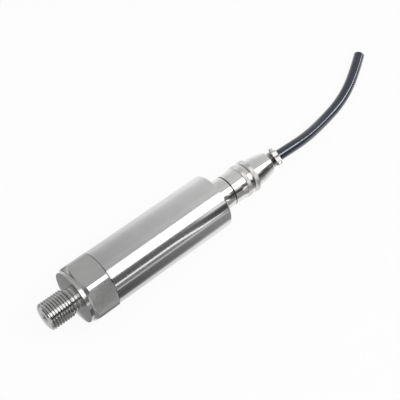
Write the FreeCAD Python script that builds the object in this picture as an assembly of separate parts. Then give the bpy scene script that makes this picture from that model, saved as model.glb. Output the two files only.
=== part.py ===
import FreeCAD, Part
import math
import os

V = FreeCAD.Vector

# The transmitter's axis is X. The origin is on the axis, in the plane of the collar's seal face.
# The process thread points to -X, the cable leaves to +X, and Z is up. All sizes are millimetres.

# Process fitting: male thread, relief neck, seal face, hexagon collar and the boss inside the tube
THREAD_R = 13.157 / 2
THREAD_LENGTH = 12.5
THREAD_TIP_CHAMFER = 1.2
NECK_R = 5.6
NECK_LENGTH = 3.0
PORT_R = 1.75
SEAL_FACE_R = 12.8
SEAL_FACE_LENGTH = 1.9
HEX_CORNER_RISE = 1.6
HEX_CHAMFER_ANGLE = 30.0
COLLAR_LENGTH = 14.5
COLLAR_REAR_RISE = 0.1
BOSS_LENGTH = 7.0
BOSS_SEAL_INSET = 2.6
BOSS_WALL = 2.4
SENSOR_BORE_X = 2.5

# Housing tube, turned with its rear wall
TUBE_R = 13.5
TUBE_WALL = 1.5
TUBE_LENGTH = 65.5
TUBE_REAR_WALL = 3.0
TUBE_REAR_CHAMFER = 0.8
TUBE_FRONT_CHAMFER = 0.25

# Clearances and the side of the square seal rings
FIT_GAP = 0.05
LOOSE_GAP = 0.1
SEAL_SIDE = 1.5

# Sensor cell, its foil, chip and pins, and the ring that holds it
CELL_LENGTH = 10.0
CELL_RIM = 2.2
CELL_CAVITY_DEPTH = 1.0
CELL_SEAL_INSET = 4.5
FOIL_THICKNESS = 0.15
DIE_SIDE = 2.5
DIE_THICKNESS = 0.5
CELL_PIN_R = 0.25
CELL_PIN_COUNT = 4
CELL_PIN_PITCH = 2.5
CELL_PIN_HEIGHT = 2.0
CELL_PIN_TAIL = 7.5
RETAINER_LENGTH = 3.0
RETAINER_WALL = 2.8

# Electronics on one board, carried by two holders and joined by flat ribbons
BOARD_SIDE_GAP = 1.5
BOARD_THICKNESS = 1.6
BOARD_FRONT_GAP = 4.5
BOARD_REAR_GAP = 2.2
HOLDER_LENGTH = 7.0
HOLDER_HEIGHT = 11.0
HOLDER_WINDOW_WIDTH = 14.0
HOLDER_WINDOW_HEIGHT = 7.8
HOLDER_SLOT_DEPTH = 4.0
RIBBON_THICKNESS = 0.3
RIBBON_OVERLAP = 4.0
RIBBON_MARGIN = 1.0
CHIP_WIDTH = 3.9
CHIP_HEIGHT = 1.4
CHIP_LEAD_PITCH = 1.27
CHIP_LEAD_WIDTH = 0.4
CHIP_LEAD_LENGTH = 1.2
CHIP_LEAD_REACH = 0.9
CHIP_LEAD_THICKNESS = 0.2
AMPLIFIER_INSET = 14.0
AMPLIFIER_LEAD_COUNT = 7
REGULATOR_INSET = 26.0
REGULATOR_LEAD_COUNT = 4
CAPACITOR_SIZE = (3.5, 2.8, 1.9)
CAPACITOR_PLACES = ((9.0, -8.0), (9.0, 8.0), (30.0, -6.5))
RESISTOR_SIZE = (2.0, 1.25, 0.5)
RESISTOR_PLACES = ((15.5, -6.5), (19.5, -6.5), (23.5, -6.5), (15.5, 6.5), (19.5, 6.5), (27.5, 6.5))

# Receptacle on the tube's rear wall
RING_R = 7.55
RING_LENGTH = 7.9
BARREL_R = 6.0
BARREL_LENGTH = 8.0
BARREL_BORE_R = 5.1
TAIL_LENGTH = 8.0
TAIL_LIP_R = 4.4
TAIL_LIP_LENGTH = 1.2
RECEPTACLE_INSERT_LENGTH = 15.8
GASKET_THICKNESS = 0.3
GASKET_R = 7.3
PANEL_NUT_ACROSS_FLATS = 15.0
PANEL_NUT_LENGTH = 2.8
CONTACT_R = 0.5
CONTACT_CIRCLE_R = 2.5
CONTACT_COUNT = 3
CONTACT_REACH = 6.0
CONTACT_TAIL = 3.0
KEY_WIDTH = 1.2
KEY_HEIGHT = 0.4
SHOULDER_SEAL_THICKNESS = 0.5
SHOULDER_SEAL_R = 7.4

# Plug sleeve, insert and sockets
FACE_GAP = 0.6
SLEEVE_R = 5.05
SLEEVE_BORE_R = 4.3
SLEEVE_FLANGE_R = 5.9
SLEEVE_FLANGE_LENGTH = 1.2
SLEEVE_TAIL_R = 5.3
SLEEVE_TAIL_LENGTH = 6.0
PLUG_INSERT_INSET = 0.5
PLUG_INSERT_LENGTH = 9.5
SOCKET_R = 0.95
SOCKET_GAP = 0.04
SOCKET_INSET = 0.3
SOCKET_BORE_LENGTH = 6.0
SOCKET_TAIL = 3.0

# Coupling nut: barrel, flare, knurled band and smooth rear band
NUT_FRONT_R = 7.6
NUT_BARREL_LENGTH = 4.1
NUT_FLARE_LENGTH = 3.05
NUT_FLARE_R = 7.95
NUT_BAND_LENGTH = 2.1
NUT_REAR_R = 7.9
NUT_REAR_LENGTH = 2.1
KNURL_R = 8.15

# Back shell
SHELL_GAP = 0.2
SHELL_LEAD_R = 7.75
SHELL_LEAD_LENGTH = 0.2
SHELL_BAND_LENGTH = 2.3
SHELL_BARREL_R = 6.85
SHELL_BARREL_LENGTH = 4.2
SHELL_TAPER_LENGTH = 5.7
SHELL_TAPER_R = 5.7
SHELL_DOME_LENGTHS = (1.3, 0.9)
SHELL_DOME_RADII = (4.9, 4.0)
SHELL_THREAD_LENGTH = 3.4
SHELL_CAVITY_R = 5.6
SHELL_CAVITY_LENGTH = 4.6
SHELL_NECK_LENGTH = 2.2
GROMMET_R = 3.95
GROMMET_LENGTH = 2.8

# Cable clamp: a half trough on the back shell, a loose half and two screws
CLAMP_WALL = 0.9
CLAMP_LENGTH = 4.7
CLAMP_HALF_LENGTH = 3.9
CLAMP_SPLIT = 0.3
CLAMP_ANGLE = 28.8
EAR_WIDTH = 2.8
EAR_HEIGHT = 2.9
EAR_REACH = 5.9
SCREW_INSET = 2.4
SCREW_OFFSET = 4.3
SCREW_R = 0.95
SCREW_LENGTH = 7.4
SCREW_HEAD_R = 1.6
SCREW_HEAD_HEIGHT = 1.2
SCREW_SLOT_WIDTH = 0.5
SCREW_SLOT_DEPTH = 0.6

# Cable and its cores
CABLE_R = 2.75
CABLE_GAP = 0.02
MOUTH_GAP = 0.2
CORE_R = 0.6
CORE_CIRCLE_R = 1.1

# The cable's route, from the jacket's end inside the grommet: straight through the clamp, down on to
# the floor, then a gentle bend to the side
JACKET_INSET = 1.3
CABLE_ROUTE = (
    (0.0, 0.0, 0.0),
    (15.0, 0.0, 0.0),
    (30.7, 2.2, -5.4),
    (47.1, 6.6, -10.75),
    (63.0, 10.2, -10.75),
    (79.3, 17.6, -10.75),
    (93.2, 26.8, -10.75),
)

# Radii and places along the axis that follow from the sizes above
TUBE_BORE_R = TUBE_R - TUBE_WALL
SENSOR_BORE_R = TUBE_BORE_R - BOSS_WALL
CELL_CAVITY_R = SENSOR_BORE_R - CELL_RIM
RETAINER_BORE_R = SENSOR_BORE_R - RETAINER_WALL
BOARD_WIDTH = 2 * (TUBE_BORE_R - BOARD_SIDE_GAP)
HEX_CORNER_R = TUBE_R + HEX_CORNER_RISE
COLLAR_REAR_R = TUBE_R + COLLAR_REAR_RISE
NECK_X = -NECK_LENGTH
THREAD_X = NECK_X - THREAD_LENGTH
SEAM_X = COLLAR_LENGTH
BOSS_END_X = SEAM_X + BOSS_LENGTH
TUBE_END_X = SEAM_X + TUBE_LENGTH
WALL_X = TUBE_END_X - TUBE_REAR_WALL
CELL_X = SENSOR_BORE_X + FOIL_THICKNESS
CELL_CAVITY_X = CELL_X + CELL_CAVITY_DEPTH
CELL_END_X = CELL_X + CELL_LENGTH
CELL_PIN_END_X = CELL_END_X + CELL_PIN_TAIL
BOARD_X = BOSS_END_X + BOARD_FRONT_GAP
RING_END_X = TUBE_END_X + RING_LENGTH
BARREL_END_X = RING_END_X + BARREL_LENGTH
TAIL_X = TUBE_END_X - TAIL_LENGTH
INSERT_X = TAIL_X + TAIL_LIP_LENGTH
INSERT_FACE_X = INSERT_X + RECEPTACLE_INSERT_LENGTH
CONTACT_X = INSERT_X - CONTACT_TAIL
BOARD_END_X = CONTACT_X - BOARD_REAR_GAP
HOLDER_REAR_X = BOARD_END_X - HOLDER_SLOT_DEPTH
SLEEVE_X = INSERT_FACE_X + FACE_GAP
FLANGE_X = BARREL_END_X + LOOSE_GAP
FLANGE_END_X = FLANGE_X + SLEEVE_FLANGE_LENGTH
SLEEVE_END_X = FLANGE_END_X + SLEEVE_TAIL_LENGTH
PLUG_INSERT_X = SLEEVE_X + PLUG_INSERT_INSET
PLUG_INSERT_END_X = PLUG_INSERT_X + PLUG_INSERT_LENGTH
SOCKET_X = PLUG_INSERT_X + SOCKET_INSET
SOCKET_END_X = PLUG_INSERT_END_X + SOCKET_TAIL
NUT_X = RING_END_X + SHOULDER_SEAL_THICKNESS + FIT_GAP
NUT_SHOULDER_X = FLANGE_END_X + LOOSE_GAP
NUT_FLARE_X = NUT_X + NUT_BARREL_LENGTH
NUT_BAND_X = NUT_FLARE_X + NUT_FLARE_LENGTH
NUT_BAND_END_X = NUT_BAND_X + NUT_BAND_LENGTH
NUT_END_X = NUT_BAND_END_X + NUT_REAR_LENGTH
SHELL_X = NUT_END_X + SHELL_GAP
SHELL_BAND_X = SHELL_X + SHELL_LEAD_LENGTH
SHELL_BAND_END_X = SHELL_BAND_X + SHELL_BAND_LENGTH
SHELL_TAPER_X = SHELL_BAND_END_X + SHELL_BARREL_LENGTH
SHELL_DOME_X = SHELL_TAPER_X + SHELL_TAPER_LENGTH
SHELL_END_X = SHELL_DOME_X + sum(SHELL_DOME_LENGTHS)
SHELL_CAVITY_X = SHELL_X + SHELL_THREAD_LENGTH
SHELL_NECK_X = SHELL_CAVITY_X + SHELL_CAVITY_LENGTH
GROMMET_X = SHELL_NECK_X + SHELL_NECK_LENGTH
GROMMET_END_X = GROMMET_X + GROMMET_LENGTH
CLAMP_END_X = SHELL_END_X + CLAMP_LENGTH
SCREW_X = CLAMP_END_X - SCREW_INSET
CLAMP_BORE_R = CABLE_R + CABLE_GAP
CLAMP_R = CLAMP_BORE_R + CLAMP_WALL
JACKET_X = GROMMET_X + JACKET_INSET
BOARD_TOP = BOARD_THICKNESS / 2
RIBBON_TOP = BOARD_TOP + RIBBON_THICKNESS


def turned(outline):
    """Solid turned about X from corners (x, r)."""
    corners = [V(x, 0, r) for x, r in outline + outline[:1]]
    return Part.Face(Part.makePolygon(corners)).revolve(V(0, 0, 0), V(1, 0, 0), 360)


def rod(radius, start_x, end_x, y=0.0, z=0.0):
    """Solid cylinder along X."""
    return Part.makeCylinder(radius, end_x - start_x, V(start_x, y, z), V(1, 0, 0))


def ring(outer_r, inner_r, start_x, end_x):
    """Hollow cylinder along X."""
    return rod(outer_r, start_x, end_x).cut(rod(inner_r, start_x, end_x))


def block(start_x, end_x, width, low_z, high_z, y=0.0):
    """Box from start_x to end_x and from low_z to high_z, centred on y."""
    return Part.makeBox(end_x - start_x, width, high_z - low_z, V(start_x, y - width / 2, low_z))


def slab(outline, width):
    """Flat piece: corners (x, z) given a width along Y, centred on the axis."""
    corners = [V(x, -width / 2, z) for x, z in outline + outline[:1]]
    return Part.Face(Part.makePolygon(corners)).extrude(V(0, width, 0))


def hexagon(across_flats, start_x, end_x):
    """Hexagonal prism along X with flats above and below."""
    corner_r = across_flats / math.sqrt(3)
    angles = [math.radians(60 * side) for side in range(7)]
    corners = [V(start_x, corner_r * math.cos(a), corner_r * math.sin(a)) for a in angles]
    return Part.Face(Part.makePolygon(corners)).extrude(V(end_x - start_x, 0, 0))


def tube_along(points, radius):
    """Round bar of straight runs joined by tangent arcs, each as large as its two runs allow."""
    knots = [V(*point) for point in points]
    edges = []
    radii = []
    here = knots[0]
    for before, corner, after in zip(knots, knots[1:], knots[2:]):
        run = 0.45 * min((corner - before).Length, (after - corner).Length)
        into = (corner - before).normalize()
        out = (after - corner).normalize()
        start = corner - into * run
        end = corner + out * run
        half_turn = into.getAngle(out) / 2
        bend_r = run / math.tan(half_turn)
        middle = corner + (out - into).normalize() * (bend_r / math.cos(half_turn) - bend_r)
        edges.append(Part.LineSegment(here, start).toShape())
        edges.append(Part.Arc(start, middle, end).toShape())
        radii.append(round(bend_r, 1))
        here = end
    edges.append(Part.LineSegment(here, knots[-1]).toShape())
    path = Part.Wire(edges)
    section = Part.Wire(Part.makeCircle(radius, knots[0], knots[1] - knots[0]))
    bar = path.makePipeShell([section], True, True)
    share = bar.Volume / (math.pi * radius**2 * path.Length)
    print("cable length", round(path.Length, 1), "bend radii", radii, "volume share", round(share, 4))
    return bar


# Pressure side ------------------------------------------------------------------------------------


def process_fitting():
    """Thread, neck, seal face, hexagon with turned corners and boss, bored for the sensor cell."""
    slope = math.tan(math.radians(HEX_CHAMFER_ANGLE))
    stem = turned([
        (THREAD_X, 0),
        (THREAD_X, THREAD_R - THREAD_TIP_CHAMFER),
        (THREAD_X + THREAD_TIP_CHAMFER, THREAD_R),
        (NECK_X - (THREAD_R - NECK_R) / 2, THREAD_R),
        (NECK_X, NECK_R),
        (0, NECK_R),
        (0, SEAL_FACE_R),
        (SEAL_FACE_LENGTH, SEAL_FACE_R),
        (SEAL_FACE_LENGTH, 0),
    ])
    collar = turned([
        (SEAL_FACE_LENGTH, 0),
        (SEAL_FACE_LENGTH, SEAL_FACE_R),
        (SEAL_FACE_LENGTH + (HEX_CORNER_R - SEAL_FACE_R) * slope, HEX_CORNER_R),
        (SEAM_X - (HEX_CORNER_R - COLLAR_REAR_R) * slope, HEX_CORNER_R),
        (SEAM_X, COLLAR_REAR_R),
        (SEAM_X, 0),
    ])
    collar = collar.common(hexagon(2 * TUBE_R, 0, SEAM_X))
    body = stem.fuse(collar).fuse(rod(TUBE_BORE_R - FIT_GAP, SEAM_X, BOSS_END_X))
    seal_x = SEAM_X + BOSS_SEAL_INSET
    body = body.cut(ring(TUBE_R, TUBE_BORE_R - SEAL_SIDE, seal_x, seal_x + SEAL_SIDE))
    body = body.cut(rod(SENSOR_BORE_R, SENSOR_BORE_X, BOSS_END_X))
    return body.cut(rod(PORT_R, THREAD_X, SENSOR_BORE_X)).removeSplitter()


def housing_tube():
    """Smooth tube with a solid rear wall and the receptacle's hole."""
    hole_r = BARREL_R + FIT_GAP
    return turned([
        (SEAM_X, TUBE_BORE_R),
        (SEAM_X, TUBE_R - TUBE_FRONT_CHAMFER),
        (SEAM_X + TUBE_FRONT_CHAMFER, TUBE_R),
        (TUBE_END_X - TUBE_REAR_CHAMFER, TUBE_R),
        (TUBE_END_X, TUBE_R - TUBE_REAR_CHAMFER),
        (TUBE_END_X, hole_r),
        (WALL_X, hole_r),
        (WALL_X, TUBE_BORE_R),
    ])


def housing_seal():
    """Square ring in the boss's groove, against the tube's bore."""
    seal_x = SEAM_X + BOSS_SEAL_INSET
    return ring(TUBE_BORE_R, TUBE_BORE_R - SEAL_SIDE, seal_x, seal_x + SEAL_SIDE)


def cell_pin_places():
    """The cell pins' distances from the middle plane, in one row across the axis."""
    return [(i - (CELL_PIN_COUNT - 1) / 2) * CELL_PIN_PITCH for i in range(CELL_PIN_COUNT)]


def sensor_cell():
    """Turned cell with an oil space at its front, a seal groove and drilled pin holes."""
    body = rod(SENSOR_BORE_R - LOOSE_GAP, CELL_X, CELL_END_X)
    body = body.cut(rod(CELL_CAVITY_R, CELL_X, CELL_CAVITY_X))
    seal_x = CELL_X + CELL_SEAL_INSET
    body = body.cut(ring(SENSOR_BORE_R, SENSOR_BORE_R - SEAL_SIDE, seal_x, seal_x + SEAL_SIDE))
    for y in cell_pin_places():
        body = body.cut(rod(CELL_PIN_R, CELL_CAVITY_X, CELL_END_X, y, CELL_PIN_HEIGHT))
    return body


def cell_seal():
    """Square ring in the cell's groove, against the sensor bore."""
    seal_x = CELL_X + CELL_SEAL_INSET
    return ring(SENSOR_BORE_R, SENSOR_BORE_R - SEAL_SIDE, seal_x, seal_x + SEAL_SIDE)


def diaphragm():
    """Thin foil welded over the cell's oil space."""
    return rod(SENSOR_BORE_R - LOOSE_GAP, SENSOR_BORE_X, CELL_X)


def sensor_die():
    """Silicon chip on the floor of the oil space."""
    return block(CELL_CAVITY_X - DIE_THICKNESS, CELL_CAVITY_X, DIE_SIDE, -DIE_SIDE / 2, DIE_SIDE / 2)


def cell_pins():
    return [rod(CELL_PIN_R, CELL_CAVITY_X, CELL_PIN_END_X, y, CELL_PIN_HEIGHT) for y in cell_pin_places()]


def cell_retainer():
    """Threaded ring that presses the cell into its bore."""
    return ring(SENSOR_BORE_R - FIT_GAP, RETAINER_BORE_R, CELL_END_X, CELL_END_X + RETAINER_LENGTH)


# Electronics --------------------------------------------------------------------------------------


def board_holder(start_x, slot_start_x, slot_end_x):
    """Moulded frame across the tube, with a window for the ribbon and slots for the board's edges."""
    holder = block(start_x, start_x + HOLDER_LENGTH, 2 * TUBE_BORE_R, -HOLDER_HEIGHT / 2, HOLDER_HEIGHT / 2)
    holder = holder.common(rod(TUBE_BORE_R - LOOSE_GAP, start_x, start_x + HOLDER_LENGTH))
    window_top = HOLDER_WINDOW_HEIGHT / 2
    holder = holder.cut(block(start_x, start_x + HOLDER_LENGTH, HOLDER_WINDOW_WIDTH, -window_top, window_top))
    slot_top = BOARD_TOP + FIT_GAP
    return holder.cut(block(slot_start_x, slot_end_x, BOARD_WIDTH + 2 * LOOSE_GAP, -slot_top, slot_top))


def amplifier_board():
    return block(BOARD_X, BOARD_END_X, BOARD_WIDTH, -BOARD_TOP, BOARD_TOP)


def chip(inset, lead_count):
    """Body of a flat chip that stands on its leads."""
    start_x = BOARD_X + inset
    low_z = BOARD_TOP + CHIP_LEAD_THICKNESS
    return block(start_x, start_x + lead_count * CHIP_LEAD_PITCH, CHIP_WIDTH, low_z, low_z + CHIP_HEIGHT)


def leads_of_chip(inset, lead_count):
    """Flat leads from under both long sides of one chip to their pads."""
    leads = []
    middle_y = CHIP_WIDTH / 2 + CHIP_LEAD_REACH - CHIP_LEAD_LENGTH / 2
    for index in range(lead_count):
        start_x = BOARD_X + inset + (index + 0.5) * CHIP_LEAD_PITCH - CHIP_LEAD_WIDTH / 2
        for y in (-middle_y, middle_y):
            end_x = start_x + CHIP_LEAD_WIDTH
            lead_top = BOARD_TOP + CHIP_LEAD_THICKNESS
            leads.append(block(start_x, end_x, CHIP_LEAD_LENGTH, BOARD_TOP, lead_top, y))
    return leads


def blocks_on_board(size, places):
    """Small block components on the board's upper side, centred at (x from the board's front, y)."""
    length, width, height = size
    found = []
    for inset, y in places:
        start_x = BOARD_X + inset - length / 2
        found.append(block(start_x, start_x + length, width, BOARD_TOP, BOARD_TOP + height, y))
    return found


def sensor_ribbon():
    """Flat ribbon: soldered across the cell's pin ends, then along and on to the board."""
    top_z = CELL_PIN_HEIGHT + RIBBON_MARGIN
    width = (CELL_PIN_COUNT - 1) * CELL_PIN_PITCH + 2 * RIBBON_MARGIN
    outline = [
        (CELL_PIN_END_X, top_z),
        (CELL_PIN_END_X, BOARD_TOP),
        (BOARD_X + RIBBON_OVERLAP, BOARD_TOP),
        (BOARD_X + RIBBON_OVERLAP, RIBBON_TOP),
        (CELL_PIN_END_X + RIBBON_THICKNESS, RIBBON_TOP),
        (CELL_PIN_END_X + RIBBON_THICKNESS, top_z),
    ]
    return slab(outline, width)


def output_ribbon():
    """Flat ribbon: from the board to a small pad across the contacts' solder tails."""
    reach = CONTACT_CIRCLE_R + RIBBON_MARGIN
    pad_x = CONTACT_X - RIBBON_THICKNESS
    outline = [
        (CONTACT_X, -reach),
        (CONTACT_X, reach),
        (pad_x, reach),
        (pad_x, RIBBON_TOP),
        (BOARD_END_X - RIBBON_OVERLAP, RIBBON_TOP),
        (BOARD_END_X - RIBBON_OVERLAP, BOARD_TOP),
        (pad_x, BOARD_TOP),
        (pad_x, -reach),
    ]
    return slab(outline, 2 * reach)


# Receptacle ---------------------------------------------------------------------------------------


def contact_places():
    """The contacts' (y, z) places, shared by both halves of the connector."""
    angles = [math.radians(90 + 360 * i / CONTACT_COUNT) for i in range(CONTACT_COUNT)]
    return [(CONTACT_CIRCLE_R * math.cos(a), CONTACT_CIRCLE_R * math.sin(a)) for a in angles]


def receptacle_shell():
    """Ring and threaded barrel outside the wall, threaded tail inside it, and a keyway in the bore."""
    body = turned([
        (TAIL_X, TAIL_LIP_R),
        (TAIL_X, BARREL_R),
        (TUBE_END_X + GASKET_THICKNESS, BARREL_R),
        (TUBE_END_X + GASKET_THICKNESS, RING_R),
        (RING_END_X, RING_R),
        (RING_END_X, BARREL_R),
        (BARREL_END_X, BARREL_R),
        (BARREL_END_X, BARREL_BORE_R),
        (INSERT_X, BARREL_BORE_R),
        (INSERT_X, TAIL_LIP_R),
    ])
    keyway_z = SLEEVE_R + KEY_HEIGHT + LOOSE_GAP
    return body.cut(block(INSERT_FACE_X, BARREL_END_X, KEY_WIDTH + 2 * FIT_GAP, 0, keyway_z))


def receptacle_gasket():
    """Flat ring between the receptacle and the tube's rear wall."""
    return ring(GASKET_R, BARREL_R + FIT_GAP, TUBE_END_X, TUBE_END_X + GASKET_THICKNESS)


def receptacle_nut():
    """Hexagon nut that clamps the receptacle from inside the tube."""
    start_x = WALL_X - PANEL_NUT_LENGTH
    body = hexagon(PANEL_NUT_ACROSS_FLATS, start_x, WALL_X)
    return body.cut(rod(BARREL_R + FIT_GAP, start_x, WALL_X))


def receptacle_insert():
    """Insulator drilled for the contacts."""
    body = rod(BARREL_BORE_R - FIT_GAP, INSERT_X, INSERT_FACE_X)
    for y, z in contact_places():
        body = body.cut(rod(CONTACT_R, INSERT_X, INSERT_FACE_X, y, z))
    return body


def contact_pins():
    """Turned pins with a tapered nose, through the insert to their solder tails."""
    tip_x = INSERT_FACE_X + CONTACT_REACH
    pins = []
    for y, z in contact_places():
        pin = turned([
            (CONTACT_X, 0),
            (CONTACT_X, CONTACT_R),
            (tip_x - CONTACT_R, CONTACT_R),
            (tip_x, CONTACT_R / 2),
            (tip_x, 0),
        ])
        pin.translate(V(0, y, z))
        pins.append(pin)
    return pins


def shoulder_seal():
    """Black ring between the receptacle's shoulder and the coupling nut."""
    return ring(SHOULDER_SEAL_R, BARREL_R + FIT_GAP, RING_END_X, RING_END_X + SHOULDER_SEAL_THICKNESS)


# Plug ---------------------------------------------------------------------------------------------


def plug_sleeve():
    """Keyed front tube, flange that the coupling nut pulls on, and threaded tail."""
    body = turned([
        (SLEEVE_X, SLEEVE_BORE_R),
        (SLEEVE_X, SLEEVE_R),
        (FLANGE_X, SLEEVE_R),
        (FLANGE_X, SLEEVE_FLANGE_R),
        (FLANGE_END_X, SLEEVE_FLANGE_R),
        (FLANGE_END_X, SLEEVE_TAIL_R),
        (SLEEVE_END_X, SLEEVE_TAIL_R),
        (SLEEVE_END_X, SLEEVE_BORE_R),
    ])
    key = block(SLEEVE_X, BARREL_END_X, KEY_WIDTH, SLEEVE_BORE_R + LOOSE_GAP, SLEEVE_R + KEY_HEIGHT)
    return body.fuse(key).removeSplitter()


def plug_insert():
    """Insulator drilled for the sockets."""
    body = rod(SLEEVE_BORE_R - FIT_GAP, PLUG_INSERT_X, PLUG_INSERT_END_X)
    for y, z in contact_places():
        body = body.cut(rod(SOCKET_R, PLUG_INSERT_X, PLUG_INSERT_END_X, y, z))
    return body


def plug_sockets():
    """Turned sockets, bored for the pins, with solid solder tails."""
    sockets = []
    for y, z in contact_places():
        socket = rod(SOCKET_R, SOCKET_X, SOCKET_END_X, y, z)
        bore = rod(CONTACT_R + SOCKET_GAP, SOCKET_X, SOCKET_X + SOCKET_BORE_LENGTH, y, z)
        sockets.append(socket.cut(bore))
    return sockets


def coupling_nut():
    """Captive nut: threaded over the barrel, its inner shoulder behind the sleeve's flange."""
    thread_r = BARREL_R + FIT_GAP
    bore_r = SLEEVE_TAIL_R + LOOSE_GAP
    return turned([
        (NUT_X, thread_r),
        (NUT_X, NUT_FRONT_R - LOOSE_GAP),
        (NUT_X + LOOSE_GAP, NUT_FRONT_R),
        (NUT_FLARE_X, NUT_FRONT_R),
        (NUT_BAND_X, NUT_FLARE_R),
        (NUT_BAND_X, KNURL_R),
        (NUT_BAND_END_X, KNURL_R),
        (NUT_BAND_END_X, NUT_REAR_R),
        (NUT_END_X, NUT_REAR_R),
        (NUT_END_X, bore_r),
        (NUT_SHOULDER_X, bore_r),
        (NUT_SHOULDER_X, thread_r),
    ])


# Back shell, clamp and cable ----------------------------------------------------------------------


def clamp_side(start_x):
    """Half trough round the cable with two screw ears, on the +Z side of the cable."""
    trough = ring(CLAMP_R, CLAMP_BORE_R, start_x, CLAMP_END_X)
    trough = trough.common(block(start_x, CLAMP_END_X, 2 * CLAMP_R, CLAMP_SPLIT / 2, CLAMP_R))
    ear_x = SCREW_X - EAR_WIDTH / 2
    ears = block(ear_x, ear_x + EAR_WIDTH, 2 * EAR_REACH, CLAMP_SPLIT / 2, EAR_HEIGHT)
    piece = trough.fuse(ears).cut(rod(CLAMP_BORE_R, start_x, CLAMP_END_X))
    for y in (-SCREW_OFFSET, SCREW_OFFSET):
        piece = piece.cut(Part.makeCylinder(SCREW_R, EAR_HEIGHT, V(SCREW_X, y, 0), V(0, 0, 1)))
    return piece


def on_clamp(shape, angle=CLAMP_ANGLE):
    """Turns a clamp piece about the cable so that its +Z side points angle degrees above +Y."""
    shape.rotate(V(0, 0, 0), V(1, 0, 0), angle - 90)
    return shape


def back_shell():
    """Threaded on the sleeve: knurled band, barrel, taper and dome, ending in half of the clamp."""
    thread_r = SLEEVE_TAIL_R + FIT_GAP
    mouth_r = CABLE_R + MOUTH_GAP
    seat_r = GROMMET_R + FIT_GAP
    dome_x = SHELL_DOME_X + SHELL_DOME_LENGTHS[0]
    body = turned([
        (SHELL_X, thread_r),
        (SHELL_X, SHELL_LEAD_R),
        (SHELL_BAND_X, KNURL_R),
        (SHELL_BAND_END_X, KNURL_R),
        (SHELL_BAND_END_X, SHELL_BARREL_R),
        (SHELL_TAPER_X, SHELL_BARREL_R),
        (SHELL_DOME_X, SHELL_TAPER_R),
        (dome_x, SHELL_DOME_RADII[0]),
        (SHELL_END_X, SHELL_DOME_RADII[1]),
        (SHELL_END_X, mouth_r),
        (GROMMET_END_X, mouth_r),
        (GROMMET_END_X, seat_r),
        (SHELL_NECK_X, seat_r),
        (SHELL_NECK_X, SHELL_CAVITY_R),
        (SHELL_CAVITY_X, SHELL_CAVITY_R),
        (SHELL_CAVITY_X, thread_r),
    ])
    return body.fuse(on_clamp(clamp_side(SHELL_END_X))).removeSplitter()


def clamp_half():
    """Loose half of the clamp, opposite the back shell's own half."""
    return on_clamp(clamp_side(CLAMP_END_X - CLAMP_HALF_LENGTH), CLAMP_ANGLE + 180)


def clamp_screws():
    """Slotted screws: heads on the loose half, tails standing out of the back shell's ears."""
    screws = []
    head_z = -EAR_HEIGHT - SCREW_HEAD_HEIGHT
    for y in (-SCREW_OFFSET, SCREW_OFFSET):
        screw = Part.makeCylinder(SCREW_R, SCREW_LENGTH, V(SCREW_X, y, -EAR_HEIGHT), V(0, 0, 1))
        head = Part.makeCylinder(SCREW_HEAD_R, SCREW_HEAD_HEIGHT, V(SCREW_X, y, head_z), V(0, 0, 1))
        slot_x = SCREW_X - SCREW_SLOT_WIDTH / 2
        slot_end_x = slot_x + SCREW_SLOT_WIDTH
        slot = block(slot_x, slot_end_x, 2 * SCREW_HEAD_R, head_z, head_z + SCREW_SLOT_DEPTH, y)
        screws.append(on_clamp(screw.fuse(head).cut(slot)))
    return screws


def cable_grommet():
    """Rubber sleeve between the cable and the back shell."""
    return ring(GROMMET_R, CABLE_R + CABLE_GAP, GROMMET_X, GROMMET_END_X)


def cable_cores():
    """Insulated cores, one for each socket, that spread from the jacket's end to the sockets' tails."""
    cores = []
    share = CORE_CIRCLE_R / CONTACT_CIRCLE_R
    for y, z in contact_places():
        start = V(SOCKET_END_X + LOOSE_GAP, y, z)
        end = V(JACKET_X - LOOSE_GAP, y * share, z * share)
        cores.append(Part.makeCylinder(CORE_R, (end - start).Length, start, end - start))
    return cores


amplifier_leads = leads_of_chip(AMPLIFIER_INSET, AMPLIFIER_LEAD_COUNT)
regulator_leads = leads_of_chip(REGULATOR_INSET, REGULATOR_LEAD_COUNT)

nodes = {
    "process_fitting": process_fitting(),
    "housing_tube": housing_tube(),
    "housing_seal": housing_seal(),
    "diaphragm": diaphragm(),
    "sensor_cell": sensor_cell(),
    "sensor_die": sensor_die(),
    "cell_seal": cell_seal(),
    "cell_pins": cell_pins(),
    "cell_retainer": cell_retainer(),
    "board_holder_front": board_holder(BOSS_END_X, BOARD_X, BOSS_END_X + HOLDER_LENGTH),
    "board_holder_rear": board_holder(HOLDER_REAR_X, HOLDER_REAR_X, BOARD_END_X),
    "amplifier_board": amplifier_board(),
    "amplifier_chip": chip(AMPLIFIER_INSET, AMPLIFIER_LEAD_COUNT),
    "regulator_chip": chip(REGULATOR_INSET, REGULATOR_LEAD_COUNT),
    "chip_leads": amplifier_leads + regulator_leads,
    "capacitors": blocks_on_board(CAPACITOR_SIZE, CAPACITOR_PLACES),
    "resistors": blocks_on_board(RESISTOR_SIZE, RESISTOR_PLACES),
    "sensor_ribbon": sensor_ribbon(),
    "output_ribbon": output_ribbon(),
    "receptacle_shell": receptacle_shell(),
    "receptacle_gasket": receptacle_gasket(),
    "receptacle_nut": receptacle_nut(),
    "receptacle_insert": receptacle_insert(),
    "contact_pins": contact_pins(),
    "shoulder_seal": shoulder_seal(),
    "plug_sleeve": plug_sleeve(),
    "plug_insert": plug_insert(),
    "plug_sockets": plug_sockets(),
    "coupling_nut": coupling_nut(),
    "back_shell": back_shell(),
    "clamp_half": clamp_half(),
    "clamp_screws": clamp_screws(),
    "cable_grommet": cable_grommet(),
    "cable_cores": cable_cores(),
    "cable": tube_along([(JACKET_X + x, y, z) for x, y, z in CABLE_ROUTE], CABLE_R),
}

os.makedirs("parts", exist_ok=True)
for name, shape in nodes.items():
    solids = shape if isinstance(shape, list) else [shape]
    Part.makeCompound(solids).exportStep("parts/" + name + ".step")
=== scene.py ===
import math

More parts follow.
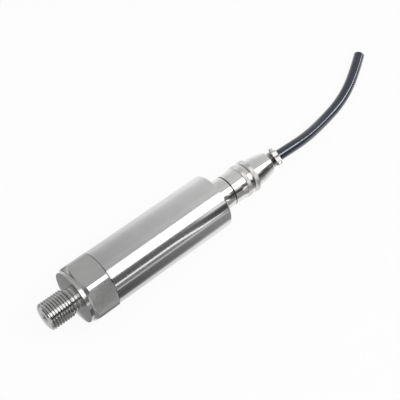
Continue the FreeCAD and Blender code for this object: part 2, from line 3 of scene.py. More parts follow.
import bpy
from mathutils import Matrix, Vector


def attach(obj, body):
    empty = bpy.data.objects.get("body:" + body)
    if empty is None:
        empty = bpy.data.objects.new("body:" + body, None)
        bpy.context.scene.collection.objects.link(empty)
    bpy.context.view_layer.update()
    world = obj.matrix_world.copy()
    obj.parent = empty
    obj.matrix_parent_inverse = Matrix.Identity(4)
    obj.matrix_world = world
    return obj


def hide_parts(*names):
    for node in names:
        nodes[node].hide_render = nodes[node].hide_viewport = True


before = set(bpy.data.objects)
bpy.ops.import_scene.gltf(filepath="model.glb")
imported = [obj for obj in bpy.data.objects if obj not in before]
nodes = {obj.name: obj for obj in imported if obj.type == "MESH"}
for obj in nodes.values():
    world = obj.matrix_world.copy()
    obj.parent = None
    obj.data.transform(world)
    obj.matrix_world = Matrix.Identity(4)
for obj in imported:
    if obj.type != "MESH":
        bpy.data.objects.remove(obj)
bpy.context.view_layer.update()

# Camera: looks down on the transmitter from the thread's side, with the cable going away to the
# upper right. A long lens keeps the housing's sides nearly parallel.
camera_place = (-0.119, -0.2222, 0.4095)
camera_aim = Vector((0.384, 0.4466, -0.808))
camera_data = bpy.data.cameras.new("camera")
camera_data.lens = 99.0
camera_data.sensor_width = 36.0
camera_data.clip_start = 0.01
camera_data.clip_end = 20.0
camera = bpy.data.objects.new("camera", camera_data)
camera.location = camera_place
camera.rotation_euler = camera_aim.to_track_quat("-Z", "Y").to_euler()
bpy.context.scene.collection.objects.link(camera)
bpy.context.scene.camera = camera
bpy.context.scene.view_settings.view_transform = "Standard"

# Cable: round flexible cable with a glossy near-black jacket. It comes straight out of the clamp,
# droops to the floor and lies there in one gentle bend. Its far end is cut off square.
cable_radius = 0.00275
cable_route = (
    (0.1115, 0.0, 0.0),
    (0.1264, 0.0, -0.001),
    (0.1416, 0.0018, -0.005),
    (0.158, 0.0062, -0.0097),
    (0.1745, 0.0102, -0.01075),
    (0.1908, 0.0176, -0.01075),
    (0.2047, 0.0268, -0.01075),
)
cable_curve = bpy.data.curves.new("cable_curve", "CURVE")
cable_curve.dimensions = "3D"
cable_curve.resolution_u = 24
cable_curve.bevel_depth = cable_radius
cable_curve.bevel_resolution = 10
cable_curve.use_fill_caps = False
cable_line = cable_curve.splines.new("NURBS")
cable_line.points.add(len(cable_route) - 1)
for point, place in zip(cable_line.points, cable_route):
    point.co = (*place, 1.0)
cable_line.order_u = 3
cable_line.use_endpoint_u = True
cable_jacket = bpy.data.objects.new("cable_jacket", cable_curve)
bpy.context.scene.collection.objects.link(cable_jacket)


def new_material(name):
    """New material with its node tree, its shader and the object's own coordinates."""
    material = bpy.data.materials.new(name)
    material.use_nodes = True
    tree = material.node_tree
    shader = tree.nodes["Principled BSDF"]
    place = tree.nodes.new("ShaderNodeTexCoord").outputs["Object"]
    return material, tree, shader, place


def grain(tree, place, stretch, detail=2.0):
    """Noise in the object's own coordinates, stretched by the scale given for each axis."""
    mapping = tree.nodes.new("ShaderNodeMapping")
    mapping.inputs["Scale"].default_value = stretch
    tree.links.new(place, mapping.inputs["Vector"])
    noise = tree.nodes.new("ShaderNodeTexNoise")
    noise.inputs["Scale"].default_value = 1.0
    noise.inputs["Detail"].default_value = detail
    tree.links.new(mapping.outputs["Vector"], noise.inputs["Vector"])
    return noise.outputs["Fac"]


def spread(tree, source, low, high, low_in=0.3, high_in=0.7):
    """Maps a grain on to a range of values."""
    value = tree.nodes.new("ShaderNodeMapRange")
    value.inputs["From Min"].default_value = low_in
    value.inputs["From Max"].default_value = high_in
    value.inputs["To Min"].default_value = low
    value.inputs["To Max"].default_value = high
    tree.links.new(source, value.inputs["Value"])
    return value.outputs["Result"]


def two_tone(tree, source, dark, light):
    """Colour that moves between two tones with a grain."""
    ramp = tree.nodes.new("ShaderNodeValToRGB")
    ramp.color_ramp.elements[0].position = 0.3
    ramp.color_ramp.elements[0].color = (*dark, 1.0)
    ramp.color_ramp.elements[1].position = 0.7
    ramp.color_ramp.elements[1].color = (*light, 1.0)
    tree.links.new(source, ramp.inputs["Fac"])
    return ramp.outputs["Color"]


def bumps(tree, shader, source, depth, strength=1.0):
    """Raises the surface by a grain, to the depth given in metres."""
    bump = tree.nodes.new("ShaderNodeBump")
    bump.inputs["Strength"].default_value = strength
    bump.inputs["Distance"].default_value = depth
    tree.links.new(source, bump.inputs["Height"])
    tree.links.new(bump.outputs["Normal"], shader.inputs["Normal"])


def moulded(name, dark, light, roughness, pebble=2500.0, depth=0.00001, coat=0.0):
    """Moulded or extruded plastic and rubber: slight mottling, with a fine pebble in its skin."""
    material, tree, shader, place = new_material(name)
    patches = grain(tree, place, (160.0, 160.0, 160.0), 3.0)
    skin = grain(tree, place, (pebble, pebble, pebble), 2.0)
    tree.links.new(two_tone(tree, patches, dark, light), shader.inputs["Base Color"])
    tree.links.new(spread(tree, skin, roughness * 0.85, roughness * 1.15), shader.inputs["Roughness"])
    bumps(tree, shader, skin, depth, 0.4)
    shader.inputs["Coat Weight"].default_value = coat
    shader.inputs["Coat Roughness"].default_value = 0.08
    return material


jacket_dark = (0.006, 0.0095, 0.018)
jacket_light = (0.011, 0.015, 0.026)
jacket_plastic = moulded("jacket_plastic", jacket_dark, jacket_light, 0.28, 700.0, 0.000001, 1.0)
jacket_plastic.node_tree.nodes["Principled BSDF"].inputs["Specular IOR Level"].default_value = 0.2
cable_curve.materials.append(jacket_plastic)
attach(cable_jacket, "plug")
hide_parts("cable")


# Cable's cut end: the jacket's wall in section, the filler inside it and the ends of the three
# insulated cores with their copper strands, all cut off together by one blade.
hair = 0.00001
on_x_axis = (0.0, math.pi / 2, 0.0)


def pick(piece):
    """Makes the piece the only one selected, and the active one."""
    bpy.ops.object.select_all(action="DESELECT")
    bpy.context.view_layer.objects.active = piece
    piece.select_set(True)


def set_place(piece):
    """Moves the piece's place, turn and size into its mesh."""
    pick(piece)
    bpy.ops.object.transform_apply(location=True, rotation=True, scale=True)


def lathe(name, outline, sides=128):
    """Turned piece: a circle at the outline's first corner (x, r), drawn out along X from corner to
    corner and merged with itself where it comes back to the first."""
    bpy.ops.object.select_all(action="DESELECT")
    start_x, start_r = outline[0]
    bpy.ops.mesh.primitive_circle_add(
        vertices=sides, radius=start_r, location=(start_x, 0.0, 0.0), rotation=on_x_axis,
    )
    piece = bpy.context.object
    piece.name = name
    set_place(piece)
    bpy.ops.object.mode_set(mode="EDIT")
    bpy.ops.mesh.select_all(action="SELECT")
    for (x, r), (next_x, next_r) in zip(outline, outline[1:] + outline[:1]):
        bpy.ops.mesh.extrude_region_move(TRANSFORM_OT_translate={"value": (next_x - x, 0.0, 0.0)})
        widen = next_r / r
        bpy.ops.transform.resize(value=(1.0, widen, widen), center_override=(next_x, 0.0, 0.0))
    bpy.ops.mesh.select_all(action="SELECT")
    bpy.ops.mesh.remove_doubles(threshold=0.000001)
    bpy.ops.mesh.normals_make_consistent(inside=False)
    bpy.ops.object.mode_set(mode="OBJECT")
    return piece


def apply_modifier(piece, kind, **settings):
    """Adds a modifier with these settings and applies it."""
    pick(piece)
    modifier = piece.modifiers.new(kind.lower(), kind)
    for key, value in settings.items():
        setattr(modifier, key, value)
    bpy.ops.object.modifier_apply(modifier=modifier.name)


def combine(piece, tool, operation="DIFFERENCE"):
    """Cuts the tool out of the piece, or unites the two, or keeps what they share. The tool goes."""
    apply_modifier(piece, "BOOLEAN", object=tool, operation=operation, solver="EXACT")
    bpy.data.objects.remove(tool)


def round_edges(piece, width, segments=3, angle=30.0):
    """Small even rounding on every edge sharper than the angle."""
    apply_modifier(
        piece, "BEVEL", width=width, segments=segments, limit_method="ANGLE",
        angle_limit=math.radians(angle), use_clamp_overlap=True,
    )


def finish_piece(piece, *materials, angle=35.0):
    """Materials in order, smooth shading up to the angle, and the piece's place kept in its mesh."""
    set_place(piece)
    bpy.ops.object.shade_smooth_by_angle(angle=math.radians(angle))
    last = len(materials) - 1
    numbers = [min(face.material_index, last) for face in piece.data.polygons]
    piece.data.materials.clear()
    for material in materials:
        piece.data.materials.append(material)
    piece.data.polygons.foreach_set("material_index", numbers)


def join(pieces, name):
    """Joins pieces into the first of them."""
    bpy.ops.object.select_all(action="DESELECT")
    for piece in pieces:
        piece.select_set(True)
    bpy.context.view_layer.objects.active = pieces[0]
    bpy.ops.object.join()
    pieces[0].name = name
    return pieces[0]


cut_direction = Vector((0.0139, 0.0092, 0.0)).normalized()
cut_turn = cut_direction.to_track_quat("X", "Z").to_euler()
cut_place = Vector(cable_route[-1])
jacket_inner_r = 0.0019
jacket_outer_r = 0.00272
core_circle_r = 0.00098
core_r = 0.00075
strand_r = 0.00038
jacket_wall = lathe("jacket_wall", [
    (-0.003, jacket_inner_r), (-0.003, jacket_outer_r), (-0.00012, jacket_outer_r), (0.0, 0.0026),
    (0.0, jacket_inner_r),
], 48)
filler = lathe("filler", [
    (-0.0025, 0.0001), (-0.0025, 0.00195), (-0.00035, 0.00195), (-0.00025, 0.0001),
], 32)
core_ends = []
strand_ends = []
for number in range(3):
    angle = math.radians(120 * number + 20)
    off_axis = (0.0, core_circle_r * math.cos(angle), core_circle_r * math.sin(angle))
    core_end = lathe("core_end", [
        (-0.002, strand_r), (-0.002, core_r), (-0.00005, core_r), (0.0, 0.0007), (0.0, strand_r),
    ], 24)
    strand_end = lathe("strand_end", [
        (-0.002, 0.00005), (-0.002, 0.00036), (0.00002, 0.00036), (0.00004, 0.00005),
    ], 12)
    core_end.location = off_axis
    strand_end.location = off_axis
    core_ends.append(core_end)
    strand_ends.append(strand_end)
for piece in core_ends + strand_ends:
    set_place(piece)
core_ends = join(core_ends, "core_ends")
strand_ends = join(strand_ends, "strand_ends")
jacket_cut = moulded("jacket_cut", (0.03, 0.034, 0.045), (0.05, 0.055, 0.07), 0.5)
filler_plastic = moulded("filler_plastic", (0.1, 0.1, 0.1), (0.16, 0.16, 0.155), 0.7)
core_plastic = moulded("core_plastic", (0.5, 0.5, 0.48), (0.62, 0.62, 0.6), 0.4)
copper = moulded("copper", (0.6, 0.26, 0.13), (0.78, 0.38, 0.2), 0.35)
copper.node_tree.nodes["Principled BSDF"].inputs["Metallic"].default_value = 1.0
for piece, material, slot in (
    (jacket_wall, jacket_cut, "cable_jacket"), (filler, filler_plastic, "cable_jacket"),
    (core_ends, core_plastic, "core_insulation"), (strand_ends, copper, "core_insulation"),
):
    piece.rotation_euler = cut_turn
    piece.location = cut_place
    finish_piece(piece, material)
    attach(piece, "plug")


# Process fitting: thread, relief neck with a bead, seal face with a groove behind its rim, and
# hexagon collar, all turned and milled from one bar of stainless steel.
def turned_metal(name, dark, light, roughness, rings=5200.0, depth=0.0000012):
    """Turned metal: fine rings round the X axis, faint patches, and a roughness that follows the rings."""
    material, tree, shader, place = new_material(name)
    patches = grain(tree, place, (90.0, 140.0, 140.0), 4.0)
    lines = grain(tree, place, (rings, 25.0, 25.0), 3.0)
    tree.links.new(two_tone(tree, patches, dark, light), shader.inputs["Base Color"])
    tree.links.new(spread(tree, lines, roughness * 0.7, roughness * 1.3), shader.inputs["Roughness"])
    bumps(tree, shader, lines, depth, 0.5)
    shader.inputs["Metallic"].default_value = 1.0
    return material


def thread(name, start_x, end_x, crest_r, root_r, pitch, tip, start=0.0):
    """Threaded bar: a helical ridge on a plain core, cut to length with chamfered ends. Start moves
    the ridge along the bar by a share of its pitch."""
    turns = math.ceil((end_x - start_x) / pitch) + 2
    bpy.ops.object.select_all(action="DESELECT")
    bpy.ops.mesh.primitive_plane_add(size=1.0)
    ridge = bpy.context.object
    ridge.name = name + "_ridge"
    foot_share = 0.04
    crest_share = 0.39
    foot_x = start_x - (1.0 + start) * pitch
    foot_r = root_r - 0.12 * pitch
    corners = (
        (foot_x + foot_share * pitch, foot_r), (foot_x + (1.0 - foot_share) * pitch, foot_r),
        (foot_x + crest_share * pitch, crest_r), (foot_x + (1.0 - crest_share) * pitch, crest_r),
    )
    for vertex, (x, r) in zip(ridge.data.vertices, corners):
        vertex.co = (x, 0.0, r)
    apply_modifier(
        ridge, "SCREW", axis="X", angle=2 * math.pi, screw_offset=pitch, iterations=turns,
        steps=72, render_steps=72, use_smooth_shade=False, use_merge_vertices=False,
    )
    bpy.ops.object.mode_set(mode="EDIT")
    bpy.ops.mesh.select_all(action="SELECT")
    bpy.ops.mesh.remove_doubles(threshold=0.0000005)
    bpy.ops.mesh.select_all(action="DESELECT")
    bpy.ops.mesh.select_non_manifold()
    bpy.ops.mesh.fill_holes(sides=0)
    bpy.ops.mesh.select_all(action="SELECT")
    bpy.ops.mesh.normals_make_consistent(inside=False)
    bpy.ops.object.mode_set(mode="OBJECT")
    bar_start_x = start_x - 2.5 * pitch
    bar_end_x = end_x + 2.5 * pitch
    core = lathe(name, [
        (bar_start_x, 2 * hair), (bar_start_x, root_r), (bar_end_x, root_r), (bar_end_x, 2 * hair),
    ], 72)
    combine(core, ridge, "UNION")
    run_out = 0.5 * (crest_r - root_r)
    envelope = lathe(name + "_envelope", [
        (start_x, hair), (start_x, crest_r - tip), (start_x + 0.7 * tip, crest_r + hair),
        (end_x - run_out, crest_r + hair), (end_x + run_out, root_r - hair), (end_x + run_out, hair),
    ], 96)
    combine(core, envelope, "INTERSECT")
    return core


thread_pitch = 0.001337
thread_crest_r = 0.0065785
thread_root_r = 0.0057225
thread_tip_chamfer = 0.0011
port_r = 0.00175
port_wall_r = 0.0018
neck_r = 0.0053
neck_bead_r = 0.0056
seal_face_r = 0.0128
rim_end_x = 0.0019
rim_groove_r = seal_face_r - 0.0004
hex_corner_r = 0.0151
collar_rear_r = 0.0136
tube_r = 0.0135
seam_x = 0.0145
hex_slope = math.tan(math.radians(30.0))
boss_r = 0.01195
boss_groove_r = 0.0105
boss_bore_r = 0.0097

stem = thread(
    "stem", -0.0155, -0.0034, thread_crest_r, thread_root_r, thread_pitch, thread_tip_chamfer, start=0.48,
)
combine(stem, lathe("port_drill", [(-0.02, hair), (-0.02, port_r), (0.003, port_r), (0.003, hair)], 48))
combine(stem, lathe("port_flare", [
    (-0.0158, hair), (-0.0158, 0.00265), (-0.0149, port_r), (-0.0149, hair),
], 48))

neck = lathe("neck", [
    (-0.0042, 0.00178), (-0.0042, 0.0052), (-0.0026, neck_r), (-0.0024, neck_bead_r), (-0.0014, neck_bead_r),
    (-0.0012, neck_r), (-0.0003, neck_r), (0.0002, neck_bead_r), (0.0002, 0.00178),
], 96)
round_edges(neck, 0.0001, 2, 20.0)
collar = lathe("collar", [
    (0.0, port_wall_r), (0.0, 0.0054), (0.0, seal_face_r),
    (rim_end_x, seal_face_r), (rim_end_x + (hex_corner_r - seal_face_r) * hex_slope, hex_corner_r),
    (seam_x - (hex_corner_r - collar_rear_r) * hex_slope, hex_corner_r), (seam_x, collar_rear_r),
    (seam_x, port_wall_r),
], 192)
bpy.ops.object.select_all(action="DESELECT")
bpy.ops.mesh.primitive_cylinder_add(
    vertices=6, radius=2 * tube_r / math.sqrt(3), depth=0.06, location=(0.0, 0.0, 0.0), rotation=on_x_axis,
)
hex_bar = bpy.context.object
set_place(hex_bar)
combine(collar, hex_bar, "INTERSECT")
round_edges(collar, 0.00018, 3, 20.0)
combine(collar, lathe("rim_groove", [
    (0.0014, rim_groove_r), (0.0014, 0.016), (0.0018, 0.016), (0.0018, rim_groove_r),
], 192))
boss = lathe("boss", [
    (0.0142, boss_bore_r), (0.0142, boss_r), (0.0171, boss_r), (0.0171, boss_groove_r),
    (0.0186, boss_groove_r), (0.0186, boss_r), (0.0212, boss_r), (0.0215, 0.0117), (0.0215, boss_bore_r),
], 96)
fitting_steel = turned_metal("fitting_steel", (0.48, 0.48, 0.475), (0.54, 0.54, 0.535), 0.2)
thread_steel = turned_metal("thread_steel", (0.47, 0.47, 0.465), (0.54, 0.54, 0.535), 0.11, 3000.0)
for piece in (collar, boss):
    piece.data.materials.append(fitting_steel)
for piece in (stem, neck):
    piece.data.materials.append(thread_steel)
fitting = join([collar, boss, stem, neck], "fitting")
finish_piece(fitting, fitting_steel, thread_steel, angle=25.0)
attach(fitting, "root")
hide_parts("process_fitting")


# Housing tube: one smooth tube of polished stainless steel, pressed on the fitting's boss. Its rear
# wall is turned with it, its rear edge is rounded, and its base colour is darker towards the fitting.
def rounded_corner(centre_x, centre_r, radius, steps=8):
    """Outline of a quarter round from the side of a turned piece to its rear face."""
    angles = [math.radians(90 - 90 * step / steps) for step in range(steps + 1)]
    return [(centre_x + radius * math.cos(a), centre_r + radius * math.sin(a)) for a in angles]


tube_end_x = 0.08
tube_bore_r = 0.012
tube_edge = 0.001
rear_wall_x = tube_end_x - 0.003
rear_hole_r = 0.00605
tube = lathe("tube", [
    (seam_x + 0.00003, tube_bore_r), (seam_x + 0.00003, tube_r - 0.0005),
    (seam_x + 0.0001, tube_r - 0.00045), (seam_x + 0.00028, tube_r - 0.00004),
    (seam_x + 0.00034, tube_r), (seam_x + 0.0005, tube_r),
    *rounded_corner(tube_end_x - tube_edge, tube_r - tube_edge, tube_edge),
    (tube_end_x, rear_hole_r), (rear_wall_x, rear_hole_r), (rear_wall_x, tube_bore_r),
], 256)
tube_steel = turned_metal("tube_steel", (0.93, 0.93, 0.925), (1.0, 1.0, 0.995), 0.13)
tube_tree = tube_steel.node_tree
tube_shader = tube_tree.nodes["Principled BSDF"]
tube_grain = tube_shader.inputs["Base Color"].links[0].from_socket
along = tube_tree.nodes.new("ShaderNodeSeparateXYZ")
tube_place = tube_tree.nodes.new("ShaderNodeTexCoord").outputs["Object"]
tube_tree.links.new(tube_place, along.inputs["Vector"])
# Base colour multiplied from 0.53 near the fitting up to 0.76 towards the rear.
front_darkening = spread(tube_tree, along.outputs["X"], 0.53, 0.76, 0.016, 0.075)
front_darkened_grain = tube_tree.nodes.new("ShaderNodeMixRGB")
front_darkened_grain.blend_type = "MULTIPLY"
front_darkened_grain.inputs["Fac"].default_value = 1.0
tube_tree.links.new(tube_grain, front_darkened_grain.inputs["Color1"])
tube_tree.links.new(front_darkening, front_darkened_grain.inputs["Color2"])
tube_tree.links.new(front_darkened_grain.outputs["Color"], tube_shader.inputs["Base Color"])
finish_piece(tube, tube_steel, angle=25.0)
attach(tube, "root")
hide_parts("housing_tube")

# Receptacle: nickel-plated brass ring and threaded barrel, clamped through the tube's rear wall,
# with a flat gasket under the ring and a thin black seal in front of the coupling nut.
plate = turned_metal("plate", (0.74, 0.735, 0.72), (0.8, 0.795, 0.78), 0.1, 7000.0, 0.0000008)
ring_start_x = 0.0803
ring_end_x = 0.0879
ring_r = 0.00755
ring_bore_r = 0.0052
barrel_r = 0.006
barrel_root_r = 0.00545
barrel_pitch = 0.001
barrel_bore_r = 0.0051
tail_x = 0.072
tail_step_x = 0.0732
tail_bore_r = 0.0044
receptacle_ring = lathe("receptacle_ring", [
    (ring_start_x, ring_bore_r), (ring_start_x, ring_r), (ring_end_x, ring_r), (ring_end_x, 0.0058),
    (ring_end_x, ring_bore_r),
], 160)
round_edges(receptacle_ring, 0.00018, 3)
barrel_thread = thread("barrel_thread", 0.0876, 0.0959, barrel_r, barrel_root_r, barrel_pitch, 0.0004)
combine(barrel_thread, lathe("barrel_drill", [
    (0.08, hair), (0.08, barrel_bore_r), (0.1, barrel_bore_r), (0.1, hair),
], 72))
receptacle_tail = lathe("receptacle_tail", [
    (tail_x, tail_bore_r), (tail_x, 0.0058), (0.0722, barrel_r), (ring_start_x, barrel_r),
    (ring_start_x, barrel_bore_r), (tail_step_x, barrel_bore_r), (tail_step_x, tail_bore_r),
], 72)
receptacle = join([receptacle_ring, barrel_thread, receptacle_tail], "receptacle")
finish_piece(receptacle, plate, angle=25.0)
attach(receptacle, "root")
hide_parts("receptacle_shell")

seal_end_x = 0.0884
seal_r = 0.0074
seal_bore_r = 0.00605
seal = lathe("seal", [
    (ring_end_x, seal_bore_r), (ring_end_x, seal_r), (seal_end_x, seal_r), (seal_end_x, seal_bore_r),
], 128)
round_edges(seal, 0.00012, 3)
seal_rubber = moulded("seal_rubber", (0.012, 0.012, 0.012), (0.022, 0.022, 0.022), 0.6)
seal_rubber.node_tree.nodes["Principled BSDF"].inputs["Specular IOR Level"].default_value = 0.15
finish_piece(seal, seal_rubber)
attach(seal, "root")
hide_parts("shoulder_seal")


# Coupling nut: nickel-plated brass, turned with a smooth barrel that flares to a knurled band and a
# smooth rear band. It turns freely on the plug and screws over the receptacle's barrel.
def knurl(piece, start_x, end_x, root_r, teeth):
    """Straight knurl on a band that has six sides for each tooth. One point of every six is pressed
    in to the root and the next ones a little, which leaves a crowned tooth between two grooves. The
    faces at the grooves take the piece's second material, a darker plate that paints shade into
    the grooves."""
    pick(piece)
    mesh = piece.data
    crest_r = max(math.hypot(v.co.y, v.co.z) for v in mesh.vertices if start_x < v.co.x < end_x)
    step = 2 * math.pi / (6 * teeth)
    places = {}
    for vertex in mesh.vertices:
        x, y, z = vertex.co
        if start_x < x < end_x and math.hypot(y, z) > crest_r - hair:
            places[vertex.index] = round((math.atan2(z, y) % (2 * math.pi)) / step) % 6
    roots = {index for index, place in places.items() if place == 0}
    for face in mesh.polygons:
        if roots.intersection(face.vertices):
            face.material_index = 1
    for numbers, radius in (((0,), root_r), ((1, 5), crest_r - 0.00008), ((2, 4), crest_r - 0.00002)):
        mesh.polygons.foreach_set("select", [False] * len(mesh.polygons))
        mesh.edges.foreach_set("select", [False] * len(mesh.edges))
        for vertex in mesh.vertices:
            vertex.select = places.get(vertex.index, -1) in numbers
        press = radius / crest_r
        bpy.ops.object.mode_set(mode="EDIT")
        bpy.ops.mesh.select_mode(type="VERT")
        bpy.ops.transform.resize(value=(1.0, press, press), center_override=(0.0, 0.0, 0.0))
        bpy.ops.object.mode_set(mode="OBJECT")


knurl_r = 0.00815
knurl_root_r = 0.00778
knurl_teeth = 54
# Darker plating for the knurl's groove faces: painted shade in the grooves.
groove_painted_shade = turned_metal("groove_painted_shade", (0.42, 0.415, 0.4), (0.52, 0.513, 0.495), 0.3, 3000.0)
knurl_edge_r = 0.00788
nut_x = 0.08845
nut_end_x = 0.0996
nut_lip_x = 0.0973
nut_r = 0.0076
nut_bore_r = 0.00605
nut_lip_bore_r = 0.0054
band_r = 0.0079
nut = lathe("nut", [
    (nut_x, nut_bore_r), (nut_x, 0.00745), (0.0886, nut_r), (0.0925, nut_r), (0.0926, nut_r),
    (0.0935, 0.00768), (0.0944, 0.00782), (0.0951, 0.00795), (0.09515, nut_r), (0.09552, nut_r),
    (0.09558, knurl_edge_r), (0.09572, knurl_r), (0.09758, knurl_r), (0.09772, knurl_edge_r),
    (0.09776, 0.00775), (0.0979, band_r), (0.09945, band_r), (nut_end_x, 0.0077),
    (nut_end_x, nut_lip_bore_r), (nut_lip_x, nut_lip_bore_r), (nut_lip_x, nut_bore_r),
], 6 * knurl_teeth)
nut.data.materials.append(plate)
# Second material: painted shade in the knurl's grooves.
nut.data.materials.append(groove_painted_shade)
knurl(nut, 0.0957, 0.0976, knurl_root_r, knurl_teeth)
finish_piece(nut, plate, groove_painted_shade, angle=25.0)
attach(nut, "nut")
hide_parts("coupling_nut")

# Back shell: nickel-plated brass, screwed on the plug's sleeve by its knurled band. Behind the
# barrel it tapers to a round shoulder and ends in one half of the cable clamp.
shell_x = 0.1
shell_r = 0.00685
shell_front_bore_r = 0.00535
shell_bore_r = 0.0056
grommet_bore_r = 0.004
mouth_r = 0.00295
shoulder_x = 0.1124
shoulder_long = 0.0022
shoulder_high = 0.0017
shoulder = []
for number in range(7):
    angle = math.radians(15 * number)
    shoulder.append((shoulder_x + shoulder_long * math.sin(angle), 0.004 + shoulder_high * math.cos(angle)))
shell = lathe("shell", [
    (shell_x, shell_front_bore_r), (shell_x, 0.00765), (0.1001, 0.00775), (0.10018, band_r),
    (0.10032, knurl_r), (0.10236, knurl_r), (0.1025, band_r), (0.10252, shell_r), (0.10665, shell_r),
    (0.10675, 0.00684), (0.1095, 0.0064), (0.1112, 0.00605), *shoulder,
    (0.1146, mouth_r), (0.113, mouth_r), (0.113, grommet_bore_r), (0.108, grommet_bore_r),
    (0.108, shell_bore_r), (0.1034, shell_bore_r), (0.1034, shell_front_bore_r),
], 6 * knurl_teeth)
shell.data.materials.append(plate)
# Second material: painted shade in the knurl's grooves.
shell.data.materials.append(groove_painted_shade)
knurl(shell, 0.1003, 0.1024, knurl_root_r, knurl_teeth)

clamp_angle = math.radians(28.8)
clamp_end_x = 0.1193
clamp_bore_r = 0.00277
clamp_r = 0.00367
clamp_split = 0.00015
ear_inner_y = 0.0031
ear_outer_y = 0.0059
ear_high = 0.0029
ear_long = 0.0028
screw_x = 0.1169
screw_offset = 0.0043
screw_hole_r = 0.00098


def clamp_trough(name, start_x, side):
    """Half trough with an ear at each long edge. Side is 1 for the half towards +Z and -1 for the
    other; the ears are drilled for the screws."""
    trough = lathe(name, [
        (start_x, clamp_bore_r), (start_x, clamp_r), (clamp_end_x, clamp_r), (clamp_end_x, clamp_bore_r),
    ], 96)
    bpy.ops.object.mode_set(mode="EDIT")
    bpy.ops.mesh.select_all(action="SELECT")
    bpy.ops.mesh.bisect(
        plane_co=(0.0, 0.0, side * clamp_split), plane_no=(0.0, 0.0, side), use_fill=True, clear_inner=True,
    )
    bpy.ops.object.mode_set(mode="OBJECT")
    parts = [trough]
    for ear_side in (-1, 1):
        bpy.ops.object.select_all(action="DESELECT")
        middle = (screw_x, ear_side * (ear_inner_y + ear_outer_y) / 2, side * (clamp_split + ear_high) / 2)
        size = (ear_long, ear_outer_y - ear_inner_y, ear_high - clamp_split)
        bpy.ops.mesh.primitive_cube_add(size=1.0, location=middle, scale=size)
        ear = bpy.context.object
        set_place(ear)
        bpy.ops.object.select_all(action="DESELECT")
        bpy.ops.mesh.primitive_cylinder_add(
            vertices=32, radius=screw_hole_r, depth=0.02, location=(screw_x, ear_side * screw_offset, 0.0),
        )
        combine(ear, bpy.context.object)
        parts.append(ear)
    made = join(parts, name)
    round_edges(made, 0.00014, 3, 40.0)
    return made


def turn_to_clamp(piece):
    """Turns a clamp piece about the cable, as the clamp stands."""
    piece.rotation_euler = (clamp_angle - math.pi / 2, 0.0, 0.0)
    set_place(piece)


# The clamp's plating is a rougher copy of the nickel plate, and its darker colour is painted shade.
clamp_plate_painted_shade = turned_metal("clamp_plate_painted_shade", (0.33, 0.327, 0.32), (0.46, 0.456, 0.447), 0.24, 2500.0, 0.000003)
shell_trough = clamp_trough("shell_trough", 0.1144, 1)
turn_to_clamp(shell_trough)
shell_trough.data.materials.append(clamp_plate_painted_shade)
back_shell = join([shell, shell_trough], "back_shell_plated")
finish_piece(back_shell, plate, groove_painted_shade, clamp_plate_painted_shade, angle=25.0)
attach(back_shell, "plug")
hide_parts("back_shell")

# Cable clamp: the loose half of the trough, drawn against the cable by two slotted screws whose
# tails stand out of the back shell's ears.
loose_half = clamp_trough("loose_half", 0.1154, -1)
turn_to_clamp(loose_half)
# Painted shade: the loose half takes the darker clamp plating.
finish_piece(loose_half, clamp_plate_painted_shade, angle=25.0)
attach(loose_half, "plug")
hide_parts("clamp_half")

head_top_x = -0.0041
head_foot_x = -0.0029
head_r = 0.0016
slot_size = (0.0012, 0.004, 0.0005)
screw_parts = []
for screw_y in (-screw_offset, screw_offset):
    shank = thread("shank", head_foot_x, 0.0045, 0.00095, 0.00075, 0.0004, 0.0002)
    head = lathe("head", [
        (head_top_x, hair), (head_top_x, 0.0013), (-0.0038, head_r), (-0.003, head_r), (head_foot_x, 0.0015),
        (head_foot_x, hair),
    ], 48)
    bpy.ops.object.select_all(action="DESELECT")
    bpy.ops.mesh.primitive_cube_add(size=1.0, location=(head_top_x, 0.0, 0.0), scale=slot_size)
    slot_cutter = bpy.context.object
    set_place(slot_cutter)
    combine(head, slot_cutter)
    screw = join([head, shank], "screw")
    screw.rotation_euler = (0.0, -math.pi / 2, 0.0)
    screw.location = (screw_x, screw_y, 0.0)
    set_place(screw)
    screw_parts.append(screw)
screws = join(screw_parts, "screws")
turn_to_clamp(screws)
screw_zinc = turned_metal("screw_zinc", (0.5, 0.5, 0.49), (0.6, 0.6, 0.59), 0.22, 3000.0, 0.000001)
finish_piece(screws, screw_zinc, angle=30.0)
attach(screws, "plug")
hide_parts("clamp_screws")


# Pieces held inside: the sensor cell and its seals, the board and what is soldered to it, the
# contacts and insulators, and the grommet and cores in the back shell.
def dress(material, *names):
    """Gives carried-over nodes their material."""
    for name in names:
        nodes[name].data.materials.clear()
        nodes[name].data.materials.append(material)


cell_steel = turned_metal("cell_steel", (0.6, 0.6, 0.59), (0.68, 0.68, 0.67), 0.25)
foil_steel = turned_metal("foil_steel", (0.7, 0.7, 0.69), (0.77, 0.77, 0.76), 0.15, 4000.0)
gold = turned_metal("gold", (0.85, 0.62, 0.25), (0.92, 0.7, 0.33), 0.2, 6000.0)
tin = turned_metal("tin", (0.7, 0.7, 0.68), (0.8, 0.8, 0.78), 0.3, 2000.0)
black_plastic = moulded("black_plastic", (0.015, 0.015, 0.016), (0.03, 0.03, 0.032), 0.5, 3500.0)
chip_plastic = moulded("chip_plastic", (0.02, 0.02, 0.021), (0.035, 0.035, 0.036), 0.65, 6000.0)
silicon = moulded("silicon", (0.06, 0.065, 0.08), (0.09, 0.1, 0.12), 0.12, 900.0, 0.000002)
ceramic = moulded("ceramic", (0.36, 0.25, 0.15), (0.46, 0.33, 0.2), 0.55, 5000.0)
film = moulded("film", (0.42, 0.18, 0.03), (0.55, 0.26, 0.05), 0.25, 1200.0, 0.000004)
board_resist, board_tree, board_shader, board_place = new_material("board_resist")
weave = grain(board_tree, board_place, (1400.0, 1400.0, 1400.0), 2.0)
board_tone = two_tone(board_tree, weave, (0.012, 0.1, 0.04), (0.02, 0.15, 0.06))
board_tree.links.new(board_tone, board_shader.inputs["Base Color"])
